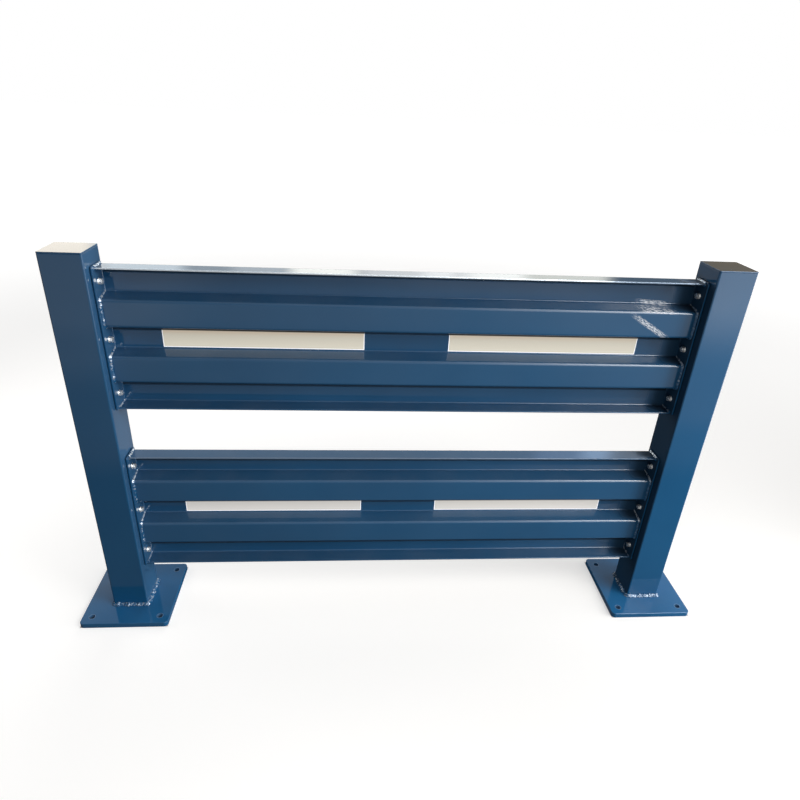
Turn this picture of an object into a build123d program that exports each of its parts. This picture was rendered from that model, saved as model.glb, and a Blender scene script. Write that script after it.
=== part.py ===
from build123d import *
import os

# Steel safety guardrail, one whole bay: two base-plated posts and two ribbed rails.
# Millimetres. X runs along the rails, Y is the depth (front is -Y), Z is up.
# The origin is on the floor, midway between the two posts.

# Bay
bay_length = 1600.0
overall_height = 1078.0

# Posts: square tube with a flat cap
post_width = 100.0
post_wall = 3.0
post_corner_radius = 4.5
post_end_chamfer = 0.8
cap_thickness = 4.0
cap_corner_radius = 4.0
cap_edge_radius = 1.2
cap_seam_chamfer = 1.0

# Base plates
base_width = 250.0
base_depth = 250.0
base_thickness = 15.0
base_corner_radius = 12.0
base_edge_radius = 1.5
anchor_hole_diameter = 16.0
anchor_spacing_x = 194.0
anchor_spacing_y = 194.0
foot_weld_leg = 8.0

# Rails: pressed sheet, all heights measured down from the top face of the rail
post_above_rail = 42.0
rail_spacing = 520.0
sheet_thickness = 4.0
bend_inner_radius = 4.0
lip_radius = 1.6
rail_front = -16.0
recess_depth = 45.0
outer_web_height = 64.5
middle_web_height = 60.5
rib_face_height = 70.0
slope_drop = 8.5
rib_count = 2

# End plates and their bolts
plate_thickness = 4.0
plate_front_overhang = 10.0
plate_back_overhang = 3.0
plate_top_overhang = 4.0
plate_corner_radius = 5.0
plate_edge_radius = 0.8
packing_thickness = 2.0
packing_diameter = 16.0
bolt_clearance_hole = 9.0
end_weld_leg = 4.0

# Pale strips on the middle recess
strip_length = 512.0
strip_height = 50.0
strip_thickness = 0.6
strip_corner_radius = 0.5
strip_fold_gap = 3.5
strip_inner_end = 111.0

# Worked-out places
post_half = post_width / 2
upper_rail_top = overall_height - post_above_rail
lower_rail_top = upper_rail_top - rail_spacing
plate_outer_face = bay_length / 2 - post_half - packing_thickness
rail_half_length = plate_outer_face - plate_thickness
bend_outer_radius = bend_inner_radius + sheet_thickness
web_front = rail_front + recess_depth
web_back = web_front + sheet_thickness
rib_height = rib_face_height + 2 * slope_drop
rib_pitch = rib_height + middle_web_height
rail_height = rib_count * rib_pitch - middle_web_height + 2 * outer_web_height + 2 * sheet_thickness
lip_front = rail_front + lip_radius
plate_front = rail_front - plate_front_overhang
plate_back = web_back + plate_back_overhang
post_tube_height = overall_height - base_thickness - cap_thickness


def web_top(recess):
    """Depth below the rail's top face at which the web of one recess starts."""
    if recess == 0:
        return sheet_thickness
    return sheet_thickness + outer_web_height + recess * rib_pitch - middle_web_height


def web_foot(recess):
    """Depth below the rail's top face of the fold at the lower end of a web."""
    is_outer = recess in (0, rib_count)
    return web_top(recess) + (outer_web_height if is_outer else middle_web_height)


def bolt_depths():
    """Bolts from the middle of the first web down, one rib pitch apart, below the rail's top face."""
    first = web_top(0) + outer_web_height / 2
    return [first + recess * rib_pitch for recess in range(rib_count + 1)]


def front_points(first_y):
    """Corners and bend radii of the rail's front surface, from flange to flange, starting at a depth."""
    points = [(first_y, -web_top(0))]
    radii = []
    for recess in range(rib_count + 1):
        points += [(web_front, -web_top(recess)), (web_front, -web_foot(recess))]
        radii += [bend_inner_radius, bend_inner_radius]
        if recess < rib_count:
            rib_top = web_foot(recess) + slope_drop
            points += [(rail_front, -rib_top), (rail_front, -rib_top - rib_face_height)]
            radii += [bend_outer_radius, bend_outer_radius]
    points.append((first_y, -web_foot(rib_count)))
    return points, radii


def rail_section():
    """The bent sheet: the front surface thickened backwards, with the two front lips rounded."""
    points, radii = front_points(rail_front)
    with BuildSketch(Plane.YZ) as section:
        with BuildLine():
            FilletPolyline(*points, radius=radii)
            offset(amount=sheet_thickness, side=Side.LEFT)
        make_face()
    front_corners = section.sketch.vertices().group_by(Axis.Y)[0].sort_by(Axis.Z)
    return fillet(front_corners[:2] + front_corners[-2:], lip_radius)


def rail(top):
    """One pressed rail between the inner faces of its two end plates."""
    section = Pos(-rail_half_length, 0, top) * rail_section()
    return extrude(section, amount=2 * rail_half_length, dir=(1, 0, 0))


def base_plate(x):
    """Base plate with rounded corners, a softened top edge and four anchor holes."""
    outline = RectangleRounded(base_width, base_depth, base_corner_radius)
    holes = GridLocations(anchor_spacing_x, anchor_spacing_y, 2, 2) * Circle(anchor_hole_diameter / 2)
    plate = extrude(outline, amount=base_thickness)
    plate = fillet(plate.faces().sort_by(Axis.Z)[-1].outer_wire().edges(), base_edge_radius)
    plate -= extrude(Sketch() + holes, amount=base_thickness)
    return Pos(x, 0, 0) * plate


def post_outline(wider=0.0):
    """The tube's outer outline, grown on every side by the given amount."""
    return RectangleRounded(
        post_width + 2 * wider, post_width + 2 * wider, post_corner_radius + wider
    )


def post(x, side):
    """Square tube with its bolt holes in the face towards the bay."""
    tube = extrude(post_outline(), amount=post_tube_height)
    tube = chamfer(tube.faces().sort_by(Axis.Z)[-1].outer_wire().edges(), post_end_chamfer)
    tube -= extrude(post_outline(-post_wall), amount=post_tube_height)
    tube = Pos(x, 0, base_thickness) * tube
    for top in (upper_rail_top, lower_rail_top):
        for depth in bolt_depths():
            drill = Cylinder(bolt_clearance_hole / 2, 2 * post_wall, rotation=(0, 90, 0))
            tube -= Pos(x - side * (post_half - post_wall / 2), 0, top - depth) * drill
    return tube


def post_cap(x):
    """Flat cap flush with the tube, with a soft top edge and a fine seam under it."""
    cap = extrude(RectangleRounded(post_width, post_width, cap_corner_radius), amount=cap_thickness)
    cap = fillet(cap.faces().sort_by(Axis.Z)[-1].edges(), cap_edge_radius)
    cap = chamfer(cap.faces().sort_by(Axis.Z)[0].edges(), cap_seam_chamfer)
    return Pos(x, 0, overall_height - cap_thickness) * cap


def foot_weld(x):
    """Fillet weld all round the foot of the post."""
    bead = extrude(post_outline(foot_weld_leg), amount=foot_weld_leg, taper=45)
    bead -= extrude(post_outline(), amount=foot_weld_leg)
    return Pos(x, 0, base_thickness) * bead


def end_plate(top, side):
    """Flat plate across a rail's end, drilled for one bolt in each recess."""
    depth = plate_back - plate_front
    height = plate_top_overhang + rail_height
    middle_y = (plate_back + plate_front) / 2
    middle_z = (plate_top_overhang - rail_height) / 2
    outline = Plane.YZ * Pos(middle_y, middle_z) * RectangleRounded(depth, height, plate_corner_radius)
    plate = extrude(outline, amount=plate_thickness, dir=(1, 0, 0))
    plate = fillet(plate.faces().sort_by(Axis.X)[-1].edges(), plate_edge_radius)
    plate = fillet(plate.faces().sort_by(Axis.X)[0].edges(), plate_edge_radius)
    for bolt_depth in bolt_depths():
        drill = Cylinder(bolt_clearance_hole / 2, 2 * plate_thickness, rotation=(0, 90, 0))
        plate -= Pos(plate_thickness / 2, 0, -bolt_depth) * drill
    inner = side * plate_outer_face - (plate_thickness if side > 0 else 0)
    return Pos(inner, 0, top) * plate


def packing_washers(top, side):
    """Three washers that space the end plate off the post."""
    rings = []
    for bolt_depth in bolt_depths():
        ring = Circle(packing_diameter / 2) - Circle(bolt_clearance_hole / 2)
        ring = extrude(Plane.YZ * ring, amount=packing_thickness, dir=(1, 0, 0))
        start = side * plate_outer_face - (packing_thickness if side < 0 else 0)
        rings.append(Pos(start, 0, top - bolt_depth) * ring)
    return Compound(children=rings)


def weld_section(corner, outward):
    """Triangle between the end plate's face at x = 0 and the sheet, at one (y, z) corner."""
    y, z = corner
    return make_face(
        Polyline(
            (0, y, z), (end_weld_leg, y, z), (0, y, z + outward * end_weld_leg), close=True
        )
    )


def end_weld(top, side):
    """Fillet welds of one rail end: along the top flange and along the whole bent front."""
    points, radii = front_points(lip_front)
    front_path = Plane.YZ * FilletPolyline(*points, radius=radii)
    front_bead = sweep(weld_section(points[0], -1), path=front_path)
    flat_depth = web_back - bend_outer_radius - lip_front
    top_bead = extrude(weld_section((lip_front, 0), 1), amount=flat_depth, dir=(0, 1, 0))
    beads = [front_bead, top_bead]
    if side > 0:
        beads = [mirror(bead, about=Plane.YZ) for bead in beads]
    return Compound(children=[Pos(side * rail_half_length, 0, top) * bead for bead in beads])


def strip(top, side):
    """Pale strip stuck on the web of the middle recess."""
    outline = RectangleRounded(strip_length, strip_height, strip_corner_radius)
    sheet = extrude(Plane.XZ * outline, amount=strip_thickness)
    middle_x = side * (strip_inner_end + strip_length / 2)
    middle_z = top - web_foot(1) + strip_fold_gap + strip_height / 2
    return Pos(middle_x, web_front, middle_z) * sheet


sides = {"left": -1, "right": 1}
levels = {"upper": upper_rail_top, "lower": lower_rail_top}

pieces = {}
for side_name, side in sides.items():
    x = side * bay_length / 2
    pieces[side_name + "_base_plate"] = base_plate(x)
    pieces[side_name + "_post"] = post(x, side)
    pieces[side_name + "_post_cap"] = post_cap(x)
    pieces[side_name + "_foot_weld"] = foot_weld(x)

for level_name, top in levels.items():
    pieces[level_name + "_rail"] = rail(top)
    for side_name, side in sides.items():
        place = level_name + "_" + side_name
        pieces[place + "_end_plate"] = end_plate(top, side)
        pieces[place + "_end_weld"] = end_weld(top, side)
        pieces[place + "_packing"] = packing_washers(top, side)
        pieces[place + "_strip"] = strip(top, side)

os.makedirs("parts", exist_ok=True)
for name, solid in pieces.items():
    export_step(solid, "parts/" + name + ".step")
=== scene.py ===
import math
import bmesh
import bpy
from mathutils import Matrix, Vector


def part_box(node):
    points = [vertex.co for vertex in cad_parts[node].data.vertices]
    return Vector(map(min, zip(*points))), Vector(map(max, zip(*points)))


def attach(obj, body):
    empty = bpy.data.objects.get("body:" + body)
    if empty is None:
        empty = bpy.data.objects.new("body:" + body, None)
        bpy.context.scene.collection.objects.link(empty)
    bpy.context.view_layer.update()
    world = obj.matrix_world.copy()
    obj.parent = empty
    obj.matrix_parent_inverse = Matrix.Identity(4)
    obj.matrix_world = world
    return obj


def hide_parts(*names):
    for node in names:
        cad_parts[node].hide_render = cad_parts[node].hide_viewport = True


# Looks of the guardrail bay: paint, hexagon bolts, rippled weld beads, pale strips, studio and camera.
# Metres. X runs along the rails, Y is the depth (the ribbed front faces -Y), Z is up.

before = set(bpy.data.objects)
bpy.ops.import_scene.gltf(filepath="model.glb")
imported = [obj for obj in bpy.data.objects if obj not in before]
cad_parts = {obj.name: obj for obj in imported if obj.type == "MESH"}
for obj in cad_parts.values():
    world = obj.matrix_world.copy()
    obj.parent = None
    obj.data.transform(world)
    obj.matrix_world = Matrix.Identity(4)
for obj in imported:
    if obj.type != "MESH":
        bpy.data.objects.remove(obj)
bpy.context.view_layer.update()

# Where things are
SIDES = {"left": -1, "right": 1}
LEVELS = ("upper", "lower")

# Sheet and bends of the rails, as pressed, heights from the top face down
sheet = 0.004
bend_inner = 0.004
bend_outer = bend_inner + sheet
recess_depth = 0.045
outer_web_height = 0.0645
middle_web_height = 0.0605
rib_face_height = 0.070
slope_drop = 0.0085
rib_count = 2
rib_pitch = rib_face_height + 2 * slope_drop + middle_web_height
lip_radius = 0.0016
rail_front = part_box("upper_rail")[0].y
web_front = rail_front + recess_depth

# Hexagon bolts M8 with a flat washer and a spring washer, which a small angle cuts open
bolt_across_flats = 0.013
bolt_head_height = 0.0055
bolt_chamfer_share = 0.94
washer_radius = 0.0080
washer_hole = 0.0043
washer_thickness = 0.0016
spring_radius = 0.0070
spring_thickness = 0.0022
spring_gap = 0.12

# Weld beads
post_corner = 0.0045
foot_leg = 0.008
rib_leg = 0.0046
web_leg = 0.0022

# Anchor holes of the base plates, with pale rims
anchor_spacing = 0.194
anchor_radius = 0.008
rim_width = 0.0018
rim_share = 0.5

# Paint and what lies on it, with painted shade and painted highlights, as screen colours from 0 to 255
paint_dark = (18, 75, 114)
paint_light = (22, 80, 120)
# The base plates' coat: the same blue made lighter, as painted light falling on the plates from above
painted_lit_foot_dark = (23, 86, 130)
painted_lit_foot_light = (28, 92, 138)
dust_tone = (190, 184, 168)
# Grey of the fine dust haze, also used as painted light on the left faces towards the bay
haze_and_light_tone = (176, 172, 164)
shade_tone = (3, 9, 15)
# Tone of the painted highlights on the flanges' lips and on the beads' lumps
highlight_tone = (226, 234, 240)
rim_tone = (120, 146, 172)
scuff_tone = (244, 246, 248)

# Share of the painted highlight on the front lip of each rail's top flange, and how it fades to the right
LIP_SHARES = {"upper": 0.9, "lower": 0.15}
lip_fade = (0.40, 0.56)
lip_share_at_right = 0.22

# Lowest and highest point of the dark bands on the webs, the depth where they begin, and their share
WEB_SHADES = (
    (1.015, 1.030), (0.867, 0.890), (0.715, 0.742),
    (0.479, 0.512), (0.333, 0.370), (0.181, 0.222),
)
web_shade_depth = (0.018, 0.028)
web_shade_share = 0.8

# Darkness in the right ends of the recesses: where it begins and where it is full
end_shade_run = (0.675, 0.722)
end_shade_depth = (-0.013, 0.004)
right_shade_share = 0.72

# Where the left and the right end parts begin, along the rails
left_part = (-0.7, -0.6)
right_part = (0.6, 0.7)

# Height between the feet and the rails, where the painted glints on a bead change
above_feet = (0.1, 0.2)

# Scuffs on the upper rail: middle (x, z), half length and half width, angle, nearest and farthest depth
SCUFFS = (
    ((0.638, 0.972), 0.034, 0.0050, -4.0, 0.018, 0.040),
    ((0.640, 0.960), 0.040, 0.0040, -3.0, -0.020, 0.020),
    ((0.628, 0.918), 0.050, 0.0060, -31.0, -0.020, -0.012),
)

# Strips: tones of the sheeting and of its painted glow, and how much of it is lit; the rest is painted
# shadow
strip_tone = (160, 155, 146)
strip_grain = 14
strip_border = (230, 232, 232)
strip_border_glow = (186, 188, 194)
strip_glow_upper = (174, 169, 154)
strip_glow_lower = (176, 174, 172)
strip_glow_top = (176, 146, 116)
strip_border_width = 0.0017
strip_lit_height = 0.0455
lower_strip_lit = (0.3000, 0.3375)
weave_radians_a_metre = 1100.0

# Floor: tones for bounced light and for the camera, and how its glow evens out the lamps' light
floor_bounce = (84, 82, 79)
floor_seen = (190, 188, 185)
floor_lit_middle = (1.4, -1.0)
floor_lit = 0.38
floor_dim = 0.68
floor_dim_reach = 3.2
floor_white_start = 2.2
floor_white_end = 7.0

# Softboxes: name, place, aim, width, height, watts, and whether surfaces mirror them
SOFTBOXES = (
    ("key", (2.1, -1.5, 2.6), (0.3, 0.0, 0.55), 1.4, 1.4, 52.0, True),
    ("near_right", (1.6, -0.5, 0.4), (0.0, 0.0, 0.5), 0.6, 0.6, 11.0, False),
    ("near_front", (0.10, -1.35, 0.62), (-0.10, 0.0, 0.20), 1.0, 0.4, 7.2, False),
    ("left_side", (-2.4, 0.5, 1.0), (-0.8, 0.0, 0.5), 1.0, 1.0, 12.0, False),
    ("back", (-0.4, 2.4, 1.3), (0.0, 0.0, 0.5), 1.4, 1.0, 16.0, False),
)

# What the paint mirrors of the floor: strengths in front, close by, behind and in the lit patches
FLOOR_MIRROR = {
    "front": 0.42, "near": 0.20, "dark": 0.02, "back_left": 0.38, "back_right": 0.14,
    "band": 0.22, "left": 0.30, "right": 0.38, "far_right": 0.38, "doorway": 2.1,
    "beyond_left": 0.45, "beside": 3.0,
}

# Edges of two lit patches on the floor: a point on each edge, and the direction across it
doorway_edge = ((0.75, -0.04), (0.846, 0.534))
beside_edge = ((1.32, -0.45), (1.04, 1.0))

# Bright things around the object: middle and half width in degrees from the back towards the right,
# lowest and highest sine of the height, strength, colour, and whether they only show as reflections
SURROUNDINGS = (
    (-35.1, 12.9, 0.10, 0.30, 2.85, (255, 246, 230), True),
    (-18.6, 3.4, 0.10, 0.30, 2.45, (240, 250, 255), True),
    (-13.1, 1.9, 0.10, 0.30, 1.20, (240, 250, 255), True),
    (-8.5, 2.6, 0.10, 0.30, 1.75, (245, 252, 255), True),
    (-2.5, 3.2, 0.10, 0.30, 3.80, (255, 255, 246), True),
    (4.0, 3.0, 0.10, 0.30, 2.50, (255, 255, 252), False),
    (8.2, 1.2, 0.10, 0.30, 3.30, (255, 255, 252), False),
    (10.3, 1.0, 0.10, 0.30, 2.80, (255, 255, 250), False),
    (13.9, 2.6, 0.10, 0.30, 3.60, (255, 255, 248), False),
    (20.3, 3.8, 0.10, 0.30, 2.30, (255, 254, 240), False),
    (27.6, 3.2, 0.10, 0.30, 0.26, (225, 236, 240), False),
    (47.0, 16.1, 0.10, 0.30, 0.36, (255, 208, 70), False),
    (-39.0, 29.0, 0.30, 0.66, 0.76, (250, 253, 255), True),
    (29.0, 39.0, 0.30, 0.66, 0.80, (250, 253, 255), False),
    (22.6, 2.4, 0.42, 0.54, 1.50, (150, 195, 255), True),
    (26.3, 1.3, 0.42, 0.54, 3.60, (180, 214, 255), True),
    (31.0, 3.4, 0.42, 0.54, 0.60, (225, 234, 250), True),
    (-8.0, 28.0, 0.42, 0.54, 0.55, (110, 190, 255), True),
    (-34.0, 11.0, 0.62, 0.74, 0.80, (235, 245, 255), True),
    (-16.0, 7.0, 0.66, 0.74, 0.40, (235, 245, 255), True),
    (90.0, 24.0, -0.05, 0.30, 4.40, (255, 255, 255), False),
    (90.0, 24.0, 0.30, 0.70, 2.00, (255, 255, 255), False),
    (135.0, 22.0, 0.30, 0.70, 1.00, (255, 255, 255), False),
)
panel_softness = 0.018
panel_rise = 0.03

# Light overhead, mirrored only, draws bright lines along bends and beads: strengths from left to right
overhead_left = 0.55
overhead_middle = 1.1
overhead_right = 6.0


def rgb(red, green, blue):
    """A colour written as screen values from 0 to 255, as the shader's linear numbers."""
    def linear(value):
        share = value / 255
        return share / 12.92 if share <= 0.04045 else ((share + 0.055) / 1.055) ** 2.4
    return (linear(red), linear(green), linear(blue), 1.0)


# Node helpers

def step(tree, kind, sockets=None, **settings):
    """Adds a node, sets it up, and fills its sockets with numbers or with other nodes' outputs."""
    node = tree.nodes.new(kind)
    for name, value in settings.items():
        setattr(node, name, value)
    for name, value in (sockets or {}).items():
        if isinstance(value, bpy.types.NodeSocket):
            tree.links.new(value, node.inputs[name])
        else:
            node.inputs[name].default_value = value
    return node


def calc(tree, operation, first, second=0.0, third=0.0):
    """Result of one Math node."""
    return step(tree, "ShaderNodeMath", {0: first, 1: second, 2: third}, operation=operation).outputs[0]


def product(tree, *factors):
    """All factors multiplied."""
    result = factors[0]
    for factor in factors[1:]:
        result = calc(tree, "MULTIPLY", result, factor)
    return result


def total_of(tree, *values):
    """All values added up."""
    result = values[0]
    for value in values[1:]:
        result = calc(tree, "ADD", result, value)
    return result


def spread(tree, value, low, high, out_low, out_high, smooth=False):
    """A value's range moved to another one, and held there."""
    kind = "SMOOTHSTEP" if smooth else "LINEAR"
    sockets = {0: value, 1: low, 2: high, 3: out_low, 4: out_high}
    return step(tree, "ShaderNodeMapRange", sockets, interpolation_type=kind).outputs[0]


def axes_of(tree, vector):
    """X, Y and Z of a vector."""
    axes = step(tree, "ShaderNodeSeparateXYZ", {0: vector}).outputs
    return axes["X"], axes["Y"], axes["Z"]


def between(tree, value, low, high, soft):
    """1 between two limits and 0 outside, with soft edges."""
    rise = spread(tree, value, low - soft, low + soft, 0.0, 1.0, smooth=True)
    fall = spread(tree, value, high - soft, high + soft, 1.0, 0.0, smooth=True)
    return product(tree, rise, fall)


# Materials

def new_material(name):
    """An empty material with a Principled shader, and its tree, shader and object coordinates."""
    material = bpy.data.materials.new(name)
    material.use_nodes = True
    tree = material.node_tree
    shader = tree.nodes["Principled BSDF"]
    place = step(tree, "ShaderNodeTexCoord").outputs["Object"]
    return material, tree, shader, place


def noise(tree, place, scale, detail=2.0, roughness=0.5):
    """A noise value at a number of cells a metre."""
    sockets = {"Vector": place, "Scale": scale, "Detail": detail, "Roughness": roughness}
    return step(tree, "ShaderNodeTexNoise", sockets).outputs["Fac"]


def blend_colours(tree, share, first, second):
    """Two colours mixed by a share."""
    mix = step(tree, "ShaderNodeMix", {0: share}, data_type="RGBA")
    for socket, value in ((mix.inputs[6], first), (mix.inputs[7], second)):
        if isinstance(value, bpy.types.NodeSocket):
            tree.links.new(value, socket)
        else:
            socket.default_value = value
    return mix.outputs[2]


def blend_values(tree, share, first, second):
    """Two values mixed by a share."""
    return step(tree, "ShaderNodeMix", {0: share, 2: first, 3: second}, data_type="FLOAT").outputs[0]


def bump(tree, height, distance, strength=1.0, normal=None):
    """Surface normal bent by a height, where 1 is as deep as the distance."""
    sockets = {"Height": height, "Distance": distance, "Strength": strength}
    if normal is not None:
        sockets["Normal"] = normal
    return step(tree, "ShaderNodeBump", sockets).outputs["Normal"]


def powder_coat(name, layers=(), dark=paint_dark, light=paint_light):
    """Glossy dark blue powder coat: faint clouds in the colour and fine orange peel, under thin layers.

    Each layer gives its cover, its colour, its roughness and how metallic it is.
    """
    material, tree, shader, place = new_material(name)
    clouds = noise(tree, place, 3.0, 3.0)
    cloud_share = spread(tree, clouds, 0.35, 0.65, 0.0, 1.0)
    colour = blend_colours(tree, cloud_share, rgb(*dark), rgb(*light))
    dullness = spread(tree, noise(tree, place, 14.0, 4.0), 0.45, 0.75, 0.05, 0.09)
    for cover, tone, layer_dullness, metallic in layers:
        share = cover(tree, place)
        colour = blend_colours(tree, share, colour, rgb(*tone))
        dullness = blend_values(tree, share, dullness, layer_dullness)
        if metallic:
            tree.links.new(product(tree, share, metallic), shader.inputs["Metallic"])
    waves = bump(tree, noise(tree, place, 60.0, 1.0), 0.00004)
    peel = bump(tree, noise(tree, place, 520.0, 1.0), 0.000010, normal=waves)
    tree.links.new(colour, shader.inputs["Base Color"])
    tree.links.new(dullness, shader.inputs["Roughness"])
    tree.links.new(peel, shader.inputs["Normal"])
    shader.inputs["IOR"].default_value = 1.45
    return material


def facing(tree, axis):
    """How far the surface faces along an axis (0, 1 or 2), from -1 to 1."""
    return axes_of(tree, step(tree, "ShaderNodeNewGeometry").outputs["Normal"])[axis]


def dust_film(tree, place, amount=1.0):
    """Thin dust on what faces up, in soft patches and fine specks."""
    lying = spread(tree, facing(tree, 2), 0.35, 0.95, 0.0, 1.0, smooth=True)
    patches = spread(tree, noise(tree, place, 9.0, 4.0), 0.35, 0.70, 0.015, 0.05)
    specks = spread(tree, noise(tree, place, 700.0, 1.0), 0.68, 0.74, 0.0, 0.10)
    return product(tree, lying, product(tree, total_of(tree, patches, specks), amount))


def foot_dust(tree, place):
    """The base plates have been trodden nearly clean."""
    return dust_film(tree, place, 0.4)


def thin_haze(tree, place):
    """An even grey haze of fine dust."""
    return spread(tree, noise(tree, place, 5.0, 3.0), 0.3, 0.7, 0.018, 0.032)


def painted_lip_highlight(tree, place):
    """Painted highlight on the front lips of the top flanges: a pale metallic tone, less so at right."""
    along, depth, height = axes_of(tree, place)
    lips = []
    for level, share in LIP_SHARES.items():
        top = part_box(level + "_rail")[1].z
        lips.append(product(tree, between(tree, height, top - sheet, top + sheet, 0.0004), share))
    front = spread(tree, depth, rail_front + 0.0018, rail_front + 0.0045, 1.0, 0.0, smooth=True)
    fade = spread(tree, along, *lip_fade, 1.0, lip_share_at_right, smooth=True)
    return product(tree, total_of(tree, *lips), front, fade)


def web_shade(tree, place):
    """Darkness on the upper part of each web, in the shadow of the flange or rib above it."""
    _, depth, height = axes_of(tree, place)
    bands = [between(tree, height, low, high, 0.0025) for low, high in WEB_SHADES]
    behind_ribs = spread(tree, depth, *web_shade_depth, 0.0, web_shade_share)
    return product(tree, total_of(tree, *bands), behind_ribs)


def end_shade(tree, place):
    """Darkness deep in the right ends of the recesses, between plate and web."""
    along, depth, _ = axes_of(tree, place)
    close = spread(tree, along, *end_shade_run, 0.0, right_shade_share, smooth=True)
    return product(tree, close, spread(tree, depth, *end_shade_depth, 0.0, 1.0))


def inner_shade(tree, place):
    """Darkness on the right post's and right plates' faces that look away from the light."""
    along, _, height = axes_of(tree, place)
    away = spread(tree, facing(tree, 0), -0.9, -0.5, right_shade_share, 0.0)
    at_right = spread(tree, along, *right_part, 0.0, 1.0)
    below_top = spread(tree, height, 1.034, 1.044, 1.0, 0.0)
    return product(tree, away, at_right, below_top)


def painted_left_light(tree, place):
    """Painted light: a pale grey on the left plates' and the left post's faces towards the bay, which look
    towards the light at right.
    """
    along, _, _ = axes_of(tree, place)
    inward = spread(tree, facing(tree, 0), 0.5, 0.9, 0.0, 0.050)
    return product(tree, inward, spread(tree, along, *left_part, 1.0, 0.0))


def painted_bead_glints(tree, place):
    """Painted glints on a bead's lumps: most on the plates' tops, least at the feet."""
    along, depth, height = axes_of(tree, place)
    lumps = noise(tree, place, 150.0, 2.0)
    lying = spread(tree, facing(tree, 2), 0.2, 0.6, 0.0, 0.85)
    tops = product(tree, lying, spread(tree, lumps, 0.38, 0.52, 0.0, 1.0),
                   spread(tree, height, *above_feet, 0.0, 1.0))
    on_ribs = spread(tree, depth, 0.0, 0.01, 0.45, 0.10)
    on_rails = product(tree, on_ribs, spread(tree, along, 0.5, 0.6, 1.0, 0.15))
    strength = spread(tree, height, *above_feet, 0.30, on_rails)
    return calc(tree, "MAXIMUM", tops, product(tree, spread(tree, lumps, 0.52, 0.60, 0.0, 1.0), strength))


def hole_rims(tree, place):
    """A pale rim around each anchor hole."""
    low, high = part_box("right_base_plate")
    along, depth, _ = axes_of(tree, place)
    from_plate = calc(tree, "SUBTRACT", calc(tree, "ABSOLUTE", along), (low.x + high.x) / 2)
    squares = []
    for axis in (from_plate, depth):
        offset = calc(tree, "SUBTRACT", calc(tree, "ABSOLUTE", axis), anchor_spacing / 2)
        squares.append(product(tree, offset, offset))
    radius = calc(tree, "SQRT", total_of(tree, *squares))
    rim = between(tree, radius, anchor_radius, anchor_radius + rim_width, 0.0005)
    return product(tree, rim, rim_share)


def scuffs(tree, place):
    """Rough pale streaks where something has rubbed along the rail."""
    x, y, z = axes_of(tree, place)
    streaks = []
    for (middle_x, middle_z), half_length, half_width, degrees, nearest, farthest in SCUFFS:
        turn = math.radians(degrees)
        dx = calc(tree, "SUBTRACT", x, middle_x)
        dz = calc(tree, "SUBTRACT", z, middle_z)
        along = calc(tree, "MULTIPLY_ADD", dx, math.cos(turn), product(tree, dz, math.sin(turn)))
        across = calc(tree, "MULTIPLY_ADD", dz, math.cos(turn), product(tree, dx, -math.sin(turn)))
        stretched = step(tree, "ShaderNodeCombineXYZ", {
            0: product(tree, along, 0.16), 1: across, 2: product(tree, y, 0.2),
        }).outputs[0]
        rough = spread(tree, noise(tree, stretched, 620.0, 3.0, 0.6), 0.44, 0.60, 0.0, 1.0)
        streaks.append(product(
            tree,
            between(tree, along, -half_length, half_length, half_length * 0.5),
            between(tree, across, -half_width, half_width, half_width * 0.5),
            between(tree, y, nearest, farthest, 0.002),
            rough,
        ))
    return calc(tree, "MINIMUM", total_of(tree, *streaks), 0.95)


def zinc(name):
    """Bright zinc plate, slightly blotched."""
    material, tree, shader, place = new_material(name)
    blotch = noise(tree, place, 260.0, 3.0)
    colour = blend_colours(tree, blotch, rgb(226, 228, 228), rgb(250, 250, 246))
    tree.links.new(colour, shader.inputs["Base Color"])
    tree.links.new(spread(tree, blotch, 0.3, 0.7, 0.20, 0.34), shader.inputs["Roughness"])
    shader.inputs["Metallic"].default_value = 0.75
    return material


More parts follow.
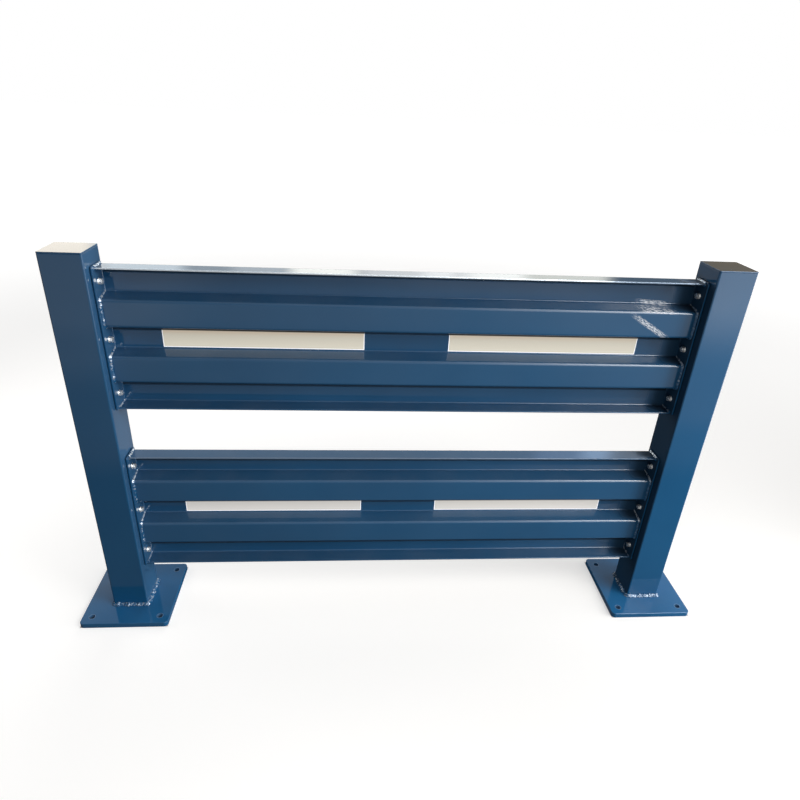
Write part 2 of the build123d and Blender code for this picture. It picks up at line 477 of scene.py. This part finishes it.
def strip_sheeting(name):
    """Pale retroreflective sheeting with a fine weave and a whiter sealed border, a painted glow and
    painted shadow.
    """
    material, tree, shader, place = new_material(name)
    x, _, z = axes_of(tree, place)
    low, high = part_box("upper_right_strip")
    height = high.z - low.z
    rail_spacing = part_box("upper_rail")[1].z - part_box("lower_rail")[1].z

    rise = calc(tree, "WRAP", calc(tree, "SUBTRACT", z, low.z), rail_spacing - 0.1, -0.1)
    run = calc(tree, "SUBTRACT", calc(tree, "ABSOLUTE", x), low.x)
    to_edge = calc(tree, "MINIMUM", rise, calc(tree, "SUBTRACT", height, rise))
    to_end = calc(tree, "MINIMUM", run, calc(tree, "SUBTRACT", high.x - low.x, run))
    from_border = calc(tree, "MINIMUM", to_edge, to_end)
    border = spread(
        tree, from_border, strip_border_width - 0.0005, strip_border_width + 0.0005, 1.0, 0.0, smooth=True
    )
    weave = product(
        tree,
        calc(tree, "SINE", product(tree, calc(tree, "ADD", x, z), weave_radians_a_metre)),
        calc(tree, "SINE", product(tree, calc(tree, "SUBTRACT", x, z), weave_radians_a_metre)),
    )
    grain = calc(tree, "MULTIPLY_ADD", weave, 0.35, noise(tree, place, 420.0, 2.0))

    # Above the lit height, and on the lower strips outside their lit band, the sheeting is painted in shade
    # tone: a painted shadow
    upper = spread(tree, z, 0.5, 0.6, 0.0, 1.0)
    lower_lit = between(tree, z, *lower_strip_lit, 0.0012)
    lit = spread(tree, rise, strip_lit_height - 0.001, strip_lit_height + 0.001, 1.0, 0.0)
    lit = product(tree, lit, calc(tree, "MAXIMUM", upper, lower_lit))

    colour = blend_colours(tree, grain, rgb(*[tone - strip_grain for tone in strip_tone]), rgb(*strip_tone))
    colour = blend_colours(tree, border, colour, rgb(*strip_border))
    colour = blend_colours(tree, lit, rgb(*shade_tone), colour)
    # Painted glow: the strips give off light themselves, darker and warmer near the top as painted shade
    glow_colour = blend_colours(tree, upper, rgb(*strip_glow_lower), rgb(*strip_glow_upper))
    near_top = spread(tree, rise, 0.030, strip_lit_height, 0.0, 0.45, smooth=True)
    glow_colour = blend_colours(tree, near_top, glow_colour, rgb(*strip_glow_top))
    glow_colour = blend_colours(tree, border, glow_colour, rgb(*strip_border_glow))
    # The painted glow grows weaker towards the top of each strip: painted shade under the rib
    strength = spread(tree, rise, 0.0, height, 1.15, 0.80)
    strength = product(tree, calc(tree, "MULTIPLY_ADD", border, 0.2, strength), lit)
    tree.links.new(colour, shader.inputs["Base Color"])
    tree.links.new(glow_colour, shader.inputs["Emission Color"])
    tree.links.new(strength, shader.inputs["Emission Strength"])
    tree.links.new(bump(tree, weave, 0.00004), shader.inputs["Normal"])
    shader.inputs["Roughness"].default_value = 0.35
    return material


# Layers on the coat: cover, colour, roughness and how metallic
dust = (dust_film, dust_tone, 0.55, 0.0)
haze = (thin_haze, haze_and_light_tone, 0.3, 0.0)
# Painted light on the left faces that look towards the light at right
left_light_layer = (painted_left_light, haze_and_light_tone, 0.3, 0.0)
deep_shade = (web_shade, shade_tone, 1.0, 0.0)
right_shade = (end_shade, shade_tone, 1.0, 0.0)
face_shade = (inner_shade, shade_tone, 1.0, 0.0)
# Painted highlight on the flanges' front lips
lip_highlight_layer = (painted_lip_highlight, highlight_tone, 0.25, 0.9)
# Painted glints on the weld beads' lumps
bead_glint_layer = (painted_bead_glints, highlight_tone, 0.30, 0.75)
scuffed = (scuffs, scuff_tone, 0.5, 0.0)
trodden_dust = (foot_dust, dust_tone, 0.5, 0.0)
pale_rims = (hole_rims, rim_tone, 0.3, 0.0)

bright_zinc = zinc("zinc_plate")
pale = strip_sheeting("pale_strip")
weld_paint = powder_coat("coated_weld", [right_shade, bead_glint_layer])
plain_paint = powder_coat("blue_powder_coat", [left_light_layer, dust, face_shade])
rail_paint = powder_coat("rail_paint", [haze, dust, deep_shade, right_shade, scuffed, lip_highlight_layer])
base_paint = powder_coat("base_paint", [trodden_dust, pale_rims], painted_lit_foot_dark, painted_lit_foot_light)

finish_of = {
    "foot_weld": weld_paint, "end_weld": weld_paint, "packing": bright_zinc, "strip": pale,
    "rail": rail_paint, "base_plate": base_paint,
}
for name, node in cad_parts.items():
    kind = next((word for word in finish_of if name.endswith(word)), None)
    node.material_slots[0].material = finish_of.get(kind, plain_paint)


# Geometry Nodes helpers

def new_tree(name, inputs):
    """An empty Geometry Nodes tree with named inputs, and its input sockets."""
    tree = bpy.data.node_groups.new(name, "GeometryNodeTree")
    tree.interface.new_socket("Geometry", in_out="INPUT", socket_type="NodeSocketGeometry")
    for label, kind in inputs:
        tree.interface.new_socket(label, in_out="INPUT", socket_type="NodeSocket" + kind)
    tree.interface.new_socket("Geometry", in_out="OUTPUT", socket_type="NodeSocketGeometry")
    return tree, step(tree, "NodeGroupInput").outputs


def grown(name, tree, points, edges, values, share=None):
    """A plain mesh object that the tree makes from points and edges."""
    seed_mesh = bpy.data.meshes.new(name)
    seed_mesh.from_pydata([tuple(point) for point in points], edges, [])
    if share is not None:
        seed_mesh.attributes.new("share", "FLOAT", "POINT").data.foreach_set("value", share)
    piece = bpy.data.objects.new(name, seed_mesh)
    bpy.context.scene.collection.objects.link(piece)
    modifier = piece.modifiers.new(name, "NODES")
    modifier.node_group = tree
    for item in tree.interface.items_tree:
        if item.in_out == "INPUT" and item.name in values:
            modifier[item.identifier] = values[item.name]
    bpy.context.view_layer.update()
    evaluated = piece.evaluated_get(bpy.context.evaluated_depsgraph_get())
    mesh = bpy.data.meshes.new_from_object(evaluated)
    piece.modifiers.remove(modifier)
    piece.data = mesh
    return piece


# Weld beads

def bead_tree():
    """Geometry Nodes: a fillet bead of stacked ripples along the edges, filling the corner at z = 0."""
    tree, given = new_tree("weld_bead", (
        ("Leg", "Float"),
        ("Sampling", "Float"),
        ("Ripple Pitch", "Float"),
        ("Ripple Depth", "Float"),
        ("Lump Pitch", "Float"),
        ("Lump Depth", "Float"),
        ("Seed", "Float"),
        ("Material", "Material"),
    ))
    ripple_lag = 0.45
    ripple_waver = 1.6
    grain_depth = 0.10
    crown_loss = 0.20
    grain_cells = 420.0

    path = step(tree, "GeometryNodeMeshToCurve", {"Mesh": given["Geometry"]}).outputs["Curve"]
    path = step(tree, "GeometryNodeResampleCurve", {
        "Curve": path, "Length": given["Sampling"],
    }, mode="LENGTH").outputs["Curve"]
    path = step(tree, "GeometryNodeSetCurveNormal", {"Curve": path}, mode="Z_UP").outputs[0]
    length = step(tree, "GeometryNodeSplineParameter").outputs["Length"]
    path = step(tree, "GeometryNodeStoreNamedAttribute", {
        "Geometry": path, "Name": "run", "Value": length,
    }, data_type="FLOAT", domain="POINT").outputs[0]
    position = step(tree, "GeometryNodeInputPosition").outputs[0]
    path = step(tree, "GeometryNodeStoreNamedAttribute", {
        "Geometry": path, "Name": "seat", "Value": position,
    }, data_type="FLOAT_VECTOR", domain="POINT").outputs[0]
    section = step(tree, "GeometryNodeCurveArc", {
        "Resolution": 9, "Radius": given["Leg"], "Start Angle": -math.pi / 2,
        "Sweep Angle": math.pi / 2, "Connect Center": True,
    }).outputs["Curve"]
    bead = step(tree, "GeometryNodeCurveToMesh", {
        "Curve": path, "Profile Curve": section, "Fill Caps": True,
    }).outputs[0]

    run = step(tree, "GeometryNodeInputNamedAttribute", {"Name": "run"}, data_type="FLOAT").outputs[0]
    seat = step(
        tree, "GeometryNodeInputNamedAttribute", {"Name": "seat"}, data_type="FLOAT_VECTOR"
    ).outputs[0]
    share = step(tree, "GeometryNodeInputNamedAttribute", {"Name": "share"}, data_type="FLOAT").outputs[0]
    here = step(tree, "GeometryNodeInputPosition").outputs[0]
    offset = step(tree, "ShaderNodeVectorMath", {0: here, 1: seat}, operation="SUBTRACT").outputs[0]
    reach = step(tree, "ShaderNodeVectorMath", {0: offset}, operation="LENGTH").outputs["Value"]
    rise = calc(tree, "DIVIDE", step(tree, "ShaderNodeSeparateXYZ", {0: offset}).outputs["Z"], reach)
    out = calc(tree, "SQRT", calc(tree, "SUBTRACT", 1.0, product(tree, rise, rise)))
    crown = product(tree, rise, out, 2.0)

    phase = calc(tree, "DIVIDE", run, given["Ripple Pitch"])
    phase = calc(tree, "SUBTRACT", phase, product(tree, crown, ripple_lag))
    waver = step(tree, "ShaderNodeTexNoise", {
        "W": calc(tree, "ADD", product(tree, run, 90.0), given["Seed"]), "Scale": 1.0, "Detail": 1.0,
    }, noise_dimensions="1D").outputs["Fac"]
    phase = calc(tree, "ADD", phase, product(tree, waver, ripple_waver))
    swing = calc(tree, "MULTIPLY_ADD", calc(tree, "FRACT", phase), 2.0, -1.0)
    dome = calc(tree, "SQRT", calc(tree, "SUBTRACT", 1.02, product(tree, swing, swing)))
    ripple = product(tree, calc(tree, "SUBTRACT", dome, 0.75), given["Ripple Depth"],
                     calc(tree, "ADD", crown, 0.25))
    lumps = step(tree, "ShaderNodeTexNoise", {
        "W": calc(tree, "ADD", calc(tree, "DIVIDE", run, given["Lump Pitch"]), given["Seed"]),
        "Scale": 1.0, "Detail": 2.0,
    }, noise_dimensions="1D").outputs["Fac"]
    lump = product(tree, calc(tree, "SUBTRACT", lumps, 0.5), product(tree, given["Lump Depth"], 2.0))
    grain = step(tree, "ShaderNodeTexNoise", {
        "Vector": here, "Scale": grain_cells, "Detail": 1.0,
    }).outputs["Fac"]
    grain = product(tree, calc(tree, "SUBTRACT", grain, 0.5), grain_depth)
    flat = calc(tree, "SUBTRACT", 1.0, product(tree, crown, crown_loss))
    factor = calc(tree, "ADD", calc(tree, "ADD", 1.0, ripple), calc(tree, "ADD", lump, grain))
    factor = product(tree, factor, flat, share)
    moved = step(tree, "ShaderNodeVectorMath", {0: offset, "Scale": factor}, operation="SCALE").outputs[0]
    moved = step(tree, "ShaderNodeVectorMath", {0: seat, 1: moved}, operation="ADD").outputs[0]
    bead = step(tree, "GeometryNodeSetPosition", {"Geometry": bead, "Position": moved}).outputs[0]
    for label in ("run", "seat", "share"):
        bead = step(tree, "GeometryNodeRemoveAttribute", {"Geometry": bead, "Name": label}).outputs[0]
    bead = step(tree, "GeometryNodeSetShadeSmooth", {"Geometry": bead}).outputs[0]
    bead = step(tree, "GeometryNodeRealizeInstances", {"Geometry": bead}).outputs[0]
    bead = step(tree, "GeometryNodeSetMaterial", {
        "Geometry": bead, "Material": given["Material"],
    }).outputs[0]
    step(tree, "NodeGroupOutput", {"Geometry": bead})
    return tree


def rounded(corners, radii, steps=6):
    """An open outline through the corners, with every inner corner rounded by its own radius."""
    points = [corners[0]]
    for before, corner, after, radius in zip(corners, corners[1:], corners[2:], radii):
        to_before = (Vector(before) - Vector(corner)).normalized()
        to_after = (Vector(after) - Vector(corner)).normalized()
        half = to_before.angle(to_after) / 2
        middle = Vector(corner) + (to_before + to_after).normalized() * radius / math.sin(half)
        start = Vector(corner) + to_before * radius / math.tan(half) - middle
        end = Vector(corner) + to_after * radius / math.tan(half) - middle
        for count in range(steps + 1):
            share = count / steps
            ray = (start * (1 - share) + end * share).normalized() * radius
            points.append(tuple(middle + ray))
    points.append(corners[-1])
    return points


def front_outline():
    """The rail's front surface from lip to lip as (depth, height) corners and their radii."""
    lip = rail_front + lip_radius
    corners = [(lip, -sheet)]
    radii = []
    top = -sheet
    for recess in range(rib_count + 1):
        web = outer_web_height if recess in (0, rib_count) else middle_web_height
        corners += [(web_front, top), (web_front, top - web)]
        radii += [bend_inner, bend_inner]
        top -= web
        if recess < rib_count:
            corners += [(rail_front, top - slope_drop), (rail_front, top - slope_drop - rib_face_height)]
            radii += [bend_outer, bend_outer]
            top -= rib_face_height + 2 * slope_drop
    corners.append((lip, top))
    return corners, radii


def bead_share(depth):
    """Full bead on the ribs and lips, a thin one where the sheet lies back in a recess."""
    back = (depth - rail_front) / recess_depth
    return 1.0 + (web_leg / rib_leg - 1.0) * back


def bead_piece(tree, points, shares, closed, place, values):
    """One bead along a line of points in its own flat plane, set into place."""
    edges = [(count, count + 1) for count in range(len(points) - 1)]
    if closed:
        edges.append((len(points) - 1, 0))
    piece = grown("bead", tree, [(x, y, 0.0) for x, y in points], edges, values, shares)
    piece.data.transform(place)
    if place.determinant() < 0:
        piece.data.flip_normals()
    return piece


def joined(name, pieces):
    """Several meshes as one piece."""
    whole = bmesh.new()
    for piece in pieces:
        whole.from_mesh(piece.data)
    mesh = bpy.data.meshes.new(name)
    whole.to_mesh(mesh)
    whole.free()
    mesh.materials.append(pieces[0].data.materials[0])
    for piece in pieces:
        bpy.data.objects.remove(piece)
    result = bpy.data.objects.new(name, mesh)
    bpy.context.scene.collection.objects.link(result)
    return result


beads = bead_tree()
bead_look = {
    "Sampling": 0.0011,
    "Ripple Pitch": 0.0100,
    "Ripple Depth": 0.30,
    "Lump Pitch": 0.017,
    "Lump Depth": 0.42,
    "Material": weld_paint,
}

for side_name, side in SIDES.items():
    low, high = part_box(side_name + "_post")
    middle = (low + high) / 2
    half = (high.x - low.x) / 2
    corners = [(-half, 0.0), (-half, -half), (half, -half), (half, half), (-half, half), (-half, 0.001)]
    around = rounded(corners, [post_corner] * 4)
    place = Matrix.Translation((middle.x, middle.y, low.z))
    weld = bead_piece(beads, around, [1.0] * len(around), True, place, {
        **bead_look, "Leg": foot_leg, "Seed": 11.0 + side,
    })
    weld = joined(side_name + "_foot_bead", [weld])
    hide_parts(side_name + "_foot_weld")
    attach(weld, "root")

for level in LEVELS:
    for side_name, side in SIDES.items():
        name = level + "_" + side_name
        plate_low, plate_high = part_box(name + "_end_plate")
        inner_x = plate_high.x if side < 0 else plate_low.x
        rail_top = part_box(level + "_rail")[1].z
        place = Matrix(((0, 0, -side, inner_x), (1, 0, 0, 0), (0, 1, 0, rail_top), (0, 0, 0, 1)))
        corners, radii = front_outline()
        front = rounded(corners, radii)
        seed = 5.0 * side + len(level)
        lines = [bead_piece(beads, front, [bead_share(depth) for depth, _ in front], False, place, {
            **bead_look, "Leg": rib_leg, "Seed": seed,
        })]
        top_line = [(web_front - bend_inner, 0.0), (rail_front + lip_radius, 0.0)]
        lines.append(bead_piece(beads, top_line, [1.0, 1.0], False, place, {
            **bead_look, "Leg": rib_leg, "Seed": seed + 40.0,
        }))
        weld = joined(name + "_end_bead", lines)
        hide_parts(name + "_end_weld")
        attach(weld, "root")


# Bolts

def bolt_tree():
    """Geometry Nodes: one hexagon bolt head with its washers on every point of a mesh."""
    tree, given = new_tree("hexagon_bolts", (
        ("Across Flats", "Float"),
        ("Head Height", "Float"),
        ("Chamfer Share", "Float"),
        ("Washer Radius", "Float"),
        ("Washer Hole", "Float"),
        ("Washer Thickness", "Float"),
        ("Spring Radius", "Float"),
        ("Spring Thickness", "Float"),
        ("Outward", "Vector"),
        ("Seed", "Int"),
        ("Material", "Material"),
    ))

    def lifted(mesh, height):
        """A mesh moved up its own axis."""
        lift = step(tree, "ShaderNodeCombineXYZ", {"Z": height}).outputs[0]
        return step(tree, "GeometryNodeTransform", {"Geometry": mesh, "Translation": lift}).outputs[0]

    def ring(outer, inner, thickness, base, gap):
        """A flat ring standing on a height, cut open by a gap angle."""
        width = calc(tree, "SUBTRACT", outer, inner)
        middle = product(tree, calc(tree, "ADD", outer, inner), 0.5)
        path = step(tree, "GeometryNodeCurveArc", {
            "Resolution": 40, "Radius": middle, "Sweep Angle": math.tau - gap,
        }).outputs["Curve"]
        path = step(tree, "GeometryNodeSetCurveNormal", {"Curve": path}, mode="Z_UP").outputs[0]
        section = step(tree, "GeometryNodeCurvePrimitiveQuadrilateral", {
            "Width": width, "Height": thickness,
        }).outputs[0]
        mesh = step(tree, "GeometryNodeCurveToMesh", {
            "Curve": path, "Profile Curve": section, "Fill Caps": True,
        }).outputs[0]
        return lifted(mesh, calc(tree, "MULTIPLY_ADD", thickness, 0.5, base))

    flats = given["Across Flats"]
    head = given["Head Height"]
    prism = step(tree, "GeometryNodeMeshCylinder", {
        "Vertices": 6, "Radius": calc(tree, "DIVIDE", flats, math.sqrt(3)), "Depth": head,
    }).outputs[0]
    top_radius = product(tree, flats, 0.5, given["Chamfer Share"])
    foot_radius = calc(tree, "ADD", top_radius, calc(tree, "DIVIDE", head, math.tan(math.radians(30))))
    cone = step(tree, "GeometryNodeMeshCone", {
        "Vertices": 64, "Radius Top": top_radius, "Radius Bottom": foot_radius, "Depth": head,
    }).outputs[0]
    both = step(tree, "GeometryNodeMeshBoolean", operation="INTERSECT", solver="EXACT")
    tree.links.new(lifted(prism, product(tree, head, -0.5)), both.inputs["Mesh 2"])
    tree.links.new(lifted(cone, product(tree, head, -1.0)), both.inputs["Mesh 2"])
    washers = calc(tree, "ADD", given["Washer Thickness"], given["Spring Thickness"])
    hexagon = lifted(both.outputs[0], calc(tree, "ADD", washers, head))
    flat_washer = ring(given["Washer Radius"], given["Washer Hole"], given["Washer Thickness"], 0.0, 0.0)
    spring = ring(
        given["Spring Radius"], given["Washer Hole"], given["Spring Thickness"],
        given["Washer Thickness"], spring_gap,
    )
    bolt = step(tree, "GeometryNodeJoinGeometry")
    for part in (spring, flat_washer, hexagon):
        tree.links.new(part, bolt.inputs[0])
    turn = step(tree, "FunctionNodeRandomValue", {2: 0.0, 3: math.tau, "Seed": given["Seed"]}).outputs[1]
    spin = step(tree, "FunctionNodeAxisAngleToRotation", {"Axis": (0, 0, 1), "Angle": turn}).outputs[0]
    aim = step(tree, "FunctionNodeAlignRotationToVector", {"Vector": given["Outward"]}, axis="Z").outputs[0]
    rotation = step(
        tree, "FunctionNodeRotateRotation", {0: aim, 1: spin}, rotation_space="LOCAL"
    ).outputs[0]
    placed = step(tree, "GeometryNodeInstanceOnPoints", {
        "Points": given["Geometry"], "Instance": bolt.outputs[0], "Rotation": rotation,
    }).outputs[0]
    whole = step(tree, "GeometryNodeRealizeInstances", {"Geometry": placed}).outputs[0]
    whole = step(tree, "GeometryNodeSetMaterial", {
        "Geometry": whole, "Material": given["Material"],
    }).outputs[0]
    step(tree, "NodeGroupOutput", {"Geometry": whole})
    return tree


bolts = bolt_tree()
for level in LEVELS:
    for side_name, side in SIDES.items():
        name = level + "_" + side_name
        plate_low, plate_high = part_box(name + "_end_plate")
        inner_x = plate_high.x if side < 0 else plate_low.x
        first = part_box(level + "_rail")[1].z - sheet - outer_web_height / 2
        points = [(inner_x, 0.0, first - count * rib_pitch) for count in range(rib_count + 1)]
        piece = grown(name + "_bolts", bolts, points, [], {
            "Across Flats": bolt_across_flats,
            "Head Height": bolt_head_height,
            "Chamfer Share": bolt_chamfer_share,
            "Washer Radius": washer_radius,
            "Washer Hole": washer_hole,
            "Washer Thickness": washer_thickness,
            "Spring Radius": spring_radius,
            "Spring Thickness": spring_thickness,
            "Outward": (-side, 0.0, 0.0),
            "Seed": len(name),
            "Material": bright_zinc,
        })
        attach(piece, "root")


# Studio

def past_edge(tree, x, y, edge):
    """How far a place on the floor lies past a straight edge."""
    (edge_x, edge_y), (across_x, across_y) = edge
    return calc(tree, "MULTIPLY_ADD", calc(tree, "SUBTRACT", x, edge_x), across_x,
                product(tree, calc(tree, "SUBTRACT", y, edge_y), across_y))


def floor_mirror(tree, place):
    """Brightness of the floor in the paint's reflections, with its lit and dark patches."""
    x, y, _ = axes_of(tree, place)

    # In front of the bay
    front = spread(tree, y, -0.95, -0.70, FLOOR_MIRROR["front"], FLOOR_MIRROR["near"], smooth=True)
    band = product(tree, between(tree, y, -4.4, -2.4, 0.25), FLOOR_MIRROR["band"])
    right = product(tree, spread(tree, x, 0.9, 1.7, 0.0, FLOOR_MIRROR["right"]),
                    spread(tree, y, -1.3, -1.1, 1.0, 0.0))
    left = product(tree, spread(tree, x, -1.6, -1.1, FLOOR_MIRROR["left"], 0.0),
                   spread(tree, y, -1.9, -1.5, 1.0, 0.0))
    doorway = product(tree, spread(tree, past_edge(tree, x, y, doorway_edge), -0.03, 0.04, 0.0, 1.0),
                      spread(tree, y, -3.3, -1.8, FLOOR_MIRROR["doorway"], 0.0, smooth=True))
    far_right = product(tree, between(tree, x, 0.3, 1.9, 0.5),
                        spread(tree, y, -3.3, -3.1, FLOOR_MIRROR["far_right"], 0.0, smooth=True))
    front = total_of(tree, front, band, right, left, doorway, far_right)

    # Behind the bay
    behind_left = spread(tree, y, 0.30, 0.80, FLOOR_MIRROR["dark"], FLOOR_MIRROR["back_left"])
    behind_right = spread(tree, y, 0.85, 1.20, FLOOR_MIRROR["dark"], FLOOR_MIRROR["back_right"])
    behind = blend_values(tree, spread(tree, x, -0.20, 0.10, 0.0, 1.0), behind_left, behind_right)
    mirror = blend_values(tree, spread(tree, y, -0.08, 0.02, 0.0, 1.0), front, behind)

    # Beyond both posts
    beyond_left = product(tree, spread(tree, x, -1.30, -1.15, 1.0, 0.0),
                          spread(tree, y, -0.4, -0.3, 0.0, 1.0))
    mirror = blend_values(tree, beyond_left, mirror, FLOOR_MIRROR["beyond_left"])
    beside = product(tree, spread(tree, past_edge(tree, x, y, beside_edge), 0.0, 0.1, 0.0, 1.0),
                     between(tree, y, -1.7, 1.0, 0.1), spread(tree, x, 0.95, 1.10, 0.0, 1.0))
    return blend_values(tree, beside, mirror, FLOOR_MIRROR["beside"])


def plain_floor():
    """Pale floor that keeps the object's shadow, looks even, and turns white far away."""
    reach = 40.0
    corners = [(-reach, -reach, 0), (reach, -reach, 0), (reach, reach, 0), (-reach, reach, 0)]
    mesh = bpy.data.meshes.new("floor")
    mesh.from_pydata(corners, [], [(0, 1, 2, 3)])
    floor = bpy.data.objects.new("floor", mesh)
    bpy.context.scene.collection.objects.link(floor)
    material, tree, shader, place = new_material("pale_floor")
    path = step(tree, "ShaderNodeLightPath").outputs
    seen = path["Is Camera Ray"]
    mirrored = path["Is Glossy Ray"]
    colour = blend_colours(tree, seen, rgb(*floor_bounce), rgb(*floor_seen))
    colour = blend_colours(tree, mirrored, colour, (0, 0, 0, 1))

    # Even tone for the camera: more where the lamps reach less, white far away, dark in the anchor holes
    from_lit = step(tree, "ShaderNodeVectorMath", {
        0: place, 1: (*floor_lit_middle, 0),
    }, operation="DISTANCE").outputs["Value"]
    even = spread(tree, from_lit, 0.0, floor_dim_reach, floor_lit, floor_dim, smooth=True)
    away = step(tree, "ShaderNodeVectorMath", {0: place}, operation="LENGTH").outputs["Value"]
    white = spread(tree, away, floor_white_start, floor_white_end, 0.0, 1.0, smooth=True)
    even = blend_values(tree, white, even, 1.0)
    along, depth, _ = axes_of(tree, place)
    low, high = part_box("right_base_plate")
    under_plate = product(tree, between(tree, calc(tree, "ABSOLUTE", along), low.x, high.x, 0.002),
                          between(tree, depth, low.y, high.y, 0.002))
    even = blend_values(tree, under_plate, even, 0.0)

    glow = calc(tree, "MULTIPLY_ADD", mirrored, floor_mirror(tree, place), product(tree, seen, even))
    tree.links.new(colour, shader.inputs["Base Color"])
    tree.links.new(glow, shader.inputs["Emission Strength"])
    shader.inputs["Emission Color"].default_value = (1, 1, 1, 1)
    shader.inputs["Roughness"].default_value = 1.0
    shader.inputs["Specular IOR Level"].default_value = 0.0
    mesh.materials.append(material)


def softbox(name, place, aim, width, height, power, mirrored):
    """A rectangular lamp that faces a point, and that the camera doesn't see."""
    lamp = bpy.data.lights.new(name, "AREA")
    lamp.shape = "RECTANGLE"
    lamp.size = width
    lamp.size_y = height
    lamp.energy = power
    box = bpy.data.objects.new(name, lamp)
    bpy.context.scene.collection.objects.link(box)
    box.location = place
    box.rotation_euler = (Vector(aim) - Vector(place)).to_track_quat("-Z", "Y").to_euler()
    box.visible_camera = False
    box.visible_glossy = mirrored


def plus(tree, total, light):
    """Light added to the light so far, which may be none yet."""
    if total is None:
        return light
    return step(tree, "ShaderNodeVectorMath", {0: total, 1: light}, operation="ADD").outputs[0]


def studio_sky():
    """White where the camera looks past the object; bright panels all around for light and reflections."""
    world = bpy.data.worlds.new("studio")
    bpy.context.scene.world = world
    world.use_nodes = True
    tree = world.node_tree
    background = tree.nodes["Background"]
    path = step(tree, "ShaderNodeLightPath").outputs
    towards = step(tree, "ShaderNodeTexCoord").outputs["Generated"]
    right, back, up = axes_of(tree, towards)
    turn = calc(tree, "ARCTAN2", right, back)
    total = None
    for middle, half_width, lowest, highest, strength, tone, only_mirrored in SURROUNDINGS:
        offset = calc(tree, "WRAP", calc(tree, "SUBTRACT", turn, math.radians(middle)), math.pi, -math.pi)
        half = math.radians(half_width)
        share = product(tree, between(tree, offset, -half, half, panel_softness),
                        between(tree, up, lowest, highest, panel_rise))
        if only_mirrored:
            share = product(tree, share, path["Is Glossy Ray"])
        light = step(tree, "ShaderNodeVectorMath", {
            0: rgb(*tone)[:3], "Scale": product(tree, share, strength),
        }, operation="SCALE").outputs[0]
        total = plus(tree, total, light)
    above = spread(tree, up, 0.76, 0.86, 0.0, 1.0)
    front = product(tree, spread(tree, back, -0.15, 0.05, 1.0, 0.0),
                    spread(tree, up, -0.02, 0.08, 0.0, 1.0))
    level = calc(tree, "ADD", spread(tree, right, -0.2, 0.1, overhead_left, overhead_middle),
                 spread(tree, right, 0.1, 0.45, 0.0, overhead_right - overhead_middle, smooth=True))
    overhead = product(tree, calc(tree, "MAXIMUM", above, front), path["Is Glossy Ray"], level)
    grey = step(tree, "ShaderNodeCombineXYZ", {axis: overhead for axis in range(3)}).outputs[0]
    total = blend_colours(tree, path["Is Camera Ray"], plus(tree, total, grey), (1, 1, 1, 1))
    tree.links.new(total, background.inputs["Color"])


plain_floor()
studio_sky()
for softbox_values in SOFTBOXES:
    softbox(*softbox_values)


# Camera, at the photograph's place and angle
camera_place = Vector((-0.1485, -1.4452, 1.4264))
camera_yaw = 0.0901
camera_pitch = 0.4688
camera_roll = 0.0506
focal_pixels = 603.05
picture_width = 800
sensor_width = 36.0
middle_pixel = 398.0


def photo_camera():
    """Camera turned by yaw about Z, pitched down and rolled, as solved from the object's edges."""
    ahead = Vector((
        math.sin(camera_yaw) * math.cos(camera_pitch),
        math.cos(camera_yaw) * math.cos(camera_pitch),
        -math.sin(camera_pitch),
    ))
    level_right = Vector((math.cos(camera_yaw), -math.sin(camera_yaw), 0))
    level_up = level_right.cross(ahead)
    right = level_right * math.cos(camera_roll) + level_up * math.sin(camera_roll)
    up = level_up * math.cos(camera_roll) - level_right * math.sin(camera_roll)
    lens = bpy.data.cameras.new("photo_camera")
    lens.sensor_width = sensor_width
    lens.lens = focal_pixels / picture_width * sensor_width
    lens.shift_x = (picture_width / 2 - middle_pixel) / picture_width
    camera = bpy.data.objects.new("photo_camera", lens)
    bpy.context.scene.collection.objects.link(camera)
    turn = Matrix((right, up, -ahead)).transposed()
    camera.matrix_world = Matrix.Translation(camera_place) @ turn.to_4x4()
    bpy.context.scene.camera = camera


photo_camera()
bpy.context.scene.view_settings.view_transform = "Standard"
